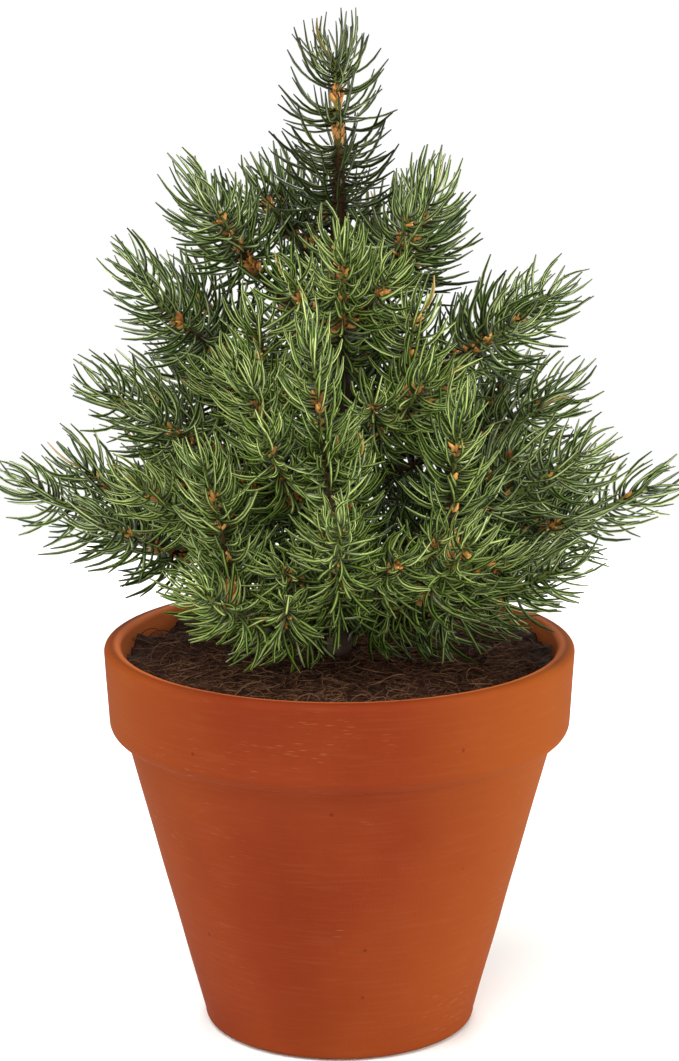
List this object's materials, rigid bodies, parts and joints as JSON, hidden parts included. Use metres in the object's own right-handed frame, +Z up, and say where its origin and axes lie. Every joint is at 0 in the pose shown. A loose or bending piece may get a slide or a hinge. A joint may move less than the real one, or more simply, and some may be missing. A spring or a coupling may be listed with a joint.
{
  "type": "artificial tabletop tree",
  "caption": "Small artificial conifer with bendable moulded needle sprays on a wrapped upright trunk, set in a banded clay pot with a fibre topping.",
  "frame": {"origin": "centre of the pot's underside, where it stands", "axes": "+Z up along the trunk and the object's longest side, -Y towards the front as pictured, +X to the right of the front"},
  "size_m": [0.2522, 0.1984, 0.3855],
  "materials": {
    "terracotta": "matte",
    "cement": "matte",
    "foam": "matte",
    "coir": "matte",
    "rod_steel": "satin",
    "bark_tape": "matte",
    "branch_wire": "matte",
    "needles_dark": "satin",
    "needles_mid": "satin",
    "needles_light": "satin"
  },
  "bodies": {
    "potted_trunk": {"clay_pot": "terracotta", "cement_plug": "cement", "foam_block": "foam", "coir_topping": "coir", "trunk_rod": "rod_steel", "tape_sleeve": "bark_tape"},
    "upper_left_branch": {"upper_left_wire": "branch_wire", "upper_left_spray": "needles_mid"},
    "upper_back_left_branch": {"upper_back_left_wire": "branch_wire", "upper_back_left_spray": "needles_dark"},
    "upper_back_right_branch": {"upper_back_right_wire": "branch_wire", "upper_back_right_spray": "needles_dark"},
    "upper_right_branch": {"upper_right_wire": "branch_wire", "upper_right_spray": "needles_mid"},
    "upper_front_branch": {"upper_front_wire": "branch_wire", "upper_front_spray": "needles_light"},
    "mid_left_high_branch": {"mid_left_high_wire": "branch_wire", "mid_left_high_spray": "needles_mid"},
    "mid_right_high_branch": {"mid_right_high_wire": "branch_wire", "mid_right_high_spray": "needles_mid"},
    "mid_back_branch": {"mid_back_wire": "branch_wire", "mid_back_spray": "needles_dark"},
    "mid_front_left_branch": {"mid_front_left_wire": "branch_wire", "mid_front_left_spray": "needles_light"},
    "mid_left_low_branch": {"mid_left_low_wire": "branch_wire", "mid_left_low_spray": "needles_mid"},
    "mid_right_low_branch": {"mid_right_low_wire": "branch_wire", "mid_right_low_spray": "needles_mid"},
    "mid_front_right_branch": {"mid_front_right_wire": "branch_wire", "mid_front_right_spray": "needles_light"},
    "mid_front_low_branch": {"mid_front_low_wire": "branch_wire", "mid_front_low_spray": "needles_light"},
    "mid_back_left_branch": {"mid_back_left_wire": "branch_wire", "mid_back_left_spray": "needles_dark"},
    "mid_back_right_branch": {"mid_back_right_wire": "branch_wire", "mid_back_right_spray": "needles_dark"},
    "low_left_out_branch": {"low_left_out_wire": "branch_wire", "low_left_out_spray": "needles_mid"},
    "low_left_front_branch": {"low_left_front_wire": "branch_wire", "low_left_front_spray": "needles_light"},
    "low_front_left_branch": {"low_front_left_wire": "branch_wire", "low_front_left_spray": "needles_light"},
    "low_front_branch": {"low_front_wire": "branch_wire", "low_front_spray": "needles_light"},
    "low_front_right_branch": {"low_front_right_wire": "branch_wire", "low_front_right_spray": "needles_light"},
    "low_right_up_branch": {"low_right_up_wire": "branch_wire", "low_right_up_spray": "needles_mid"},
    "low_right_out_branch": {"low_right_out_wire": "branch_wire", "low_right_out_spray": "needles_mid"},
    "low_right_front_branch": {"low_right_front_wire": "branch_wire", "low_right_front_spray": "needles_mid"},
    "low_back_left_branch": {"low_back_left_wire": "branch_wire", "low_back_left_spray": "needles_dark"},
    "low_back_branch": {"low_back_wire": "branch_wire", "low_back_spray": "needles_dark"},
    "low_back_right_branch": {"low_back_right_wire": "branch_wire", "low_back_right_spray": "needles_dark"},
    "leader_shoot": {"leader_wire": "branch_wire", "leader_spray": "needles_mid"}
  },
  "joints": [
    {"name": "upper_left_bend", "type": "hinge", "parent": "potted_trunk", "child": "upper_left_branch", "pos_m": [-0.00501, 0.00017, 0.266], "axis": [0.0349, 0.9994, 0], "range_deg": [-12, 15]},
    {"name": "upper_back_left_bend", "type": "hinge", "parent": "potted_trunk", "child": "upper_back_left_branch", "pos_m": [-0.00284, 0.00406, 0.276], "axis": [0.8192, 0.5736, 0], "range_deg": [-12, 15]},
    {"name": "upper_back_right_bend", "type": "hinge", "parent": "potted_trunk", "child": "upper_back_right_branch", "pos_m": [0.0029, 0.00414, 0.258], "axis": [0.8192, -0.5736, 0], "range_deg": [-12, 15]},
    {"name": "upper_right_bend", "type": "hinge", "parent": "potted_trunk", "child": "upper_right_branch", "pos_m": [0.00483, -0.0012, 0.272], "axis": [-0.2419, -0.9703, 0], "range_deg": [-12, 15]},
    {"name": "upper_front_bend", "type": "hinge", "parent": "potted_trunk", "child": "upper_front_branch", "pos_m": [0.00018, -0.00509, 0.252], "axis": [-0.9994, -0.0349, 0], "range_deg": [-12, 15]},
    {"name": "mid_left_high_bend", "type": "hinge", "parent": "potted_trunk", "child": "mid_left_high_branch", "pos_m": [-0.00516, 0.00054, 0.236], "axis": [0.1045, 0.9945, 0], "range_deg": [-12, 11]},
    {"name": "mid_right_high_bend", "type": "hinge", "parent": "potted_trunk", "child": "mid_right_high_branch", "pos_m": [0.00515, -0.00036, 0.241], "axis": [-0.0698, -0.9976, 0], "range_deg": [-12, 15]},
    {"name": "mid_back_bend", "type": "hinge", "parent": "potted_trunk", "child": "mid_back_branch", "pos_m": [-0.00018, 0.00524, 0.226], "axis": [0.9994, 0.0349, 0], "range_deg": [-12, 15]},
    {"name": "mid_front_left_bend", "type": "hinge", "parent": "potted_trunk", "child": "mid_front_left_branch", "pos_m": [-0.00369, -0.00382, 0.214], "axis": [-0.7193, 0.6947, 0], "range_deg": [-12, 15]},
    {"name": "mid_left_low_bend", "type": "hinge", "parent": "potted_trunk", "child": "mid_left_low_branch", "pos_m": [-0.00528, -0.00093, 0.207], "axis": [-0.1736, 0.9848, 0], "range_deg": [-12, 15]},
    {"name": "mid_right_low_bend", "type": "hinge", "parent": "potted_trunk", "child": "mid_right_low_branch", "pos_m": [0.00528, 0.00084, 0.209], "axis": [0.1564, -0.9877, 0], "range_deg": [-12, 15]},
    {"name": "mid_front_right_bend", "type": "hinge", "parent": "potted_trunk", "child": "mid_front_right_branch", "pos_m": [0.00279, -0.00447, 0.222], "axis": [-0.848, -0.5299, 0], "range_deg": [-12, 15]},
    {"name": "mid_front_low_bend", "type": "hinge", "parent": "potted_trunk", "child": "mid_front_low_branch", "pos_m": [-0.00195, -0.00509, 0.192], "axis": [-0.9336, 0.3584, 0], "range_deg": [-12, 12]},
    {"name": "mid_back_left_bend", "type": "hinge", "parent": "potted_trunk", "child": "mid_back_left_branch", "pos_m": [-0.00368, 0.00395, 0.2], "axis": [0.7314, 0.682, 0], "range_deg": [-12, 15]},
    {"name": "mid_back_right_bend", "type": "hinge", "parent": "potted_trunk", "child": "mid_back_right_branch", "pos_m": [0.00333, 0.00426, 0.198], "axis": [0.788, -0.6157, 0], "range_deg": [-12, 15]},
    {"name": "low_left_out_bend", "type": "hinge", "parent": "potted_trunk", "child": "low_left_out_branch", "pos_m": [-0.00558, 0.00049, 0.166], "axis": [0.0872, 0.9962, 0], "range_deg": [-12, 15]},
    {"name": "low_left_front_bend", "type": "hinge", "parent": "potted_trunk", "child": "low_left_front_branch", "pos_m": [-0.00464, -0.00302, 0.177], "axis": [-0.5446, 0.8387, 0], "range_deg": [-12, 15]},
    {"name": "low_front_left_bend", "type": "hinge", "parent": "potted_trunk", "child": "low_front_left_branch", "pos_m": [-0.00301, -0.00482, 0.153], "axis": [-0.848, 0.5299, 0], "range_deg": [-12, 15]},
    {"name": "low_front_bend", "type": "hinge", "parent": "potted_trunk", "child": "low_front_branch", "pos_m": [0, -0.00563, 0.162], "axis": [-1, 0, 0], "range_deg": [-12, 15]},
    {"name": "low_front_right_bend", "type": "hinge", "parent": "potted_trunk", "child": "low_front_right_branch", "pos_m": [0.00308, -0.00474, 0.157], "axis": [-0.8387, -0.5446, 0], "range_deg": [-12, 15]},
    {"name": "low_right_up_bend", "type": "hinge", "parent": "potted_trunk", "child": "low_right_up_branch", "pos_m": [0.00517, -0.00188, 0.182], "axis": [-0.342, -0.9397, 0], "range_deg": [-11, 15]},
    {"name": "low_right_out_bend", "type": "hinge", "parent": "potted_trunk", "child": "low_right_out_branch", "pos_m": [0.00555, 0.00068, 0.168], "axis": [0.1219, -0.9925, 0], "range_deg": [-12, 15]},
    {"name": "low_right_front_bend", "type": "hinge", "parent": "potted_trunk", "child": "low_right_front_branch", "pos_m": [0.00506, -0.00258, 0.153], "axis": [-0.454, -0.891, 0], "range_deg": [-12, 9]},
    {"name": "low_back_left_bend", "type": "hinge", "parent": "potted_trunk", "child": "low_back_left_branch", "pos_m": [-0.00384, 0.00412, 0.16], "axis": [0.7314, 0.682, 0], "range_deg": [-12, 15]},
    {"name": "low_back_bend", "type": "hinge", "parent": "potted_trunk", "child": "low_back_branch", "pos_m": [0, 0.00567, 0.155], "axis": [1, 0, 0], "range_deg": [-12, 15]},
    {"name": "low_back_right_bend", "type": "hinge", "parent": "potted_trunk", "child": "low_back_right_branch", "pos_m": [0.00385, 0.00413, 0.158], "axis": [0.7314, -0.682, 0], "range_deg": [-12, 15]},
    {"name": "leader_bend", "type": "hinge", "parent": "potted_trunk", "child": "leader_shoot", "pos_m": [0, 0, 0.3024], "axis": [0.7071, -0.7071, 0], "range_deg": [-12, 15]}
  ]
}
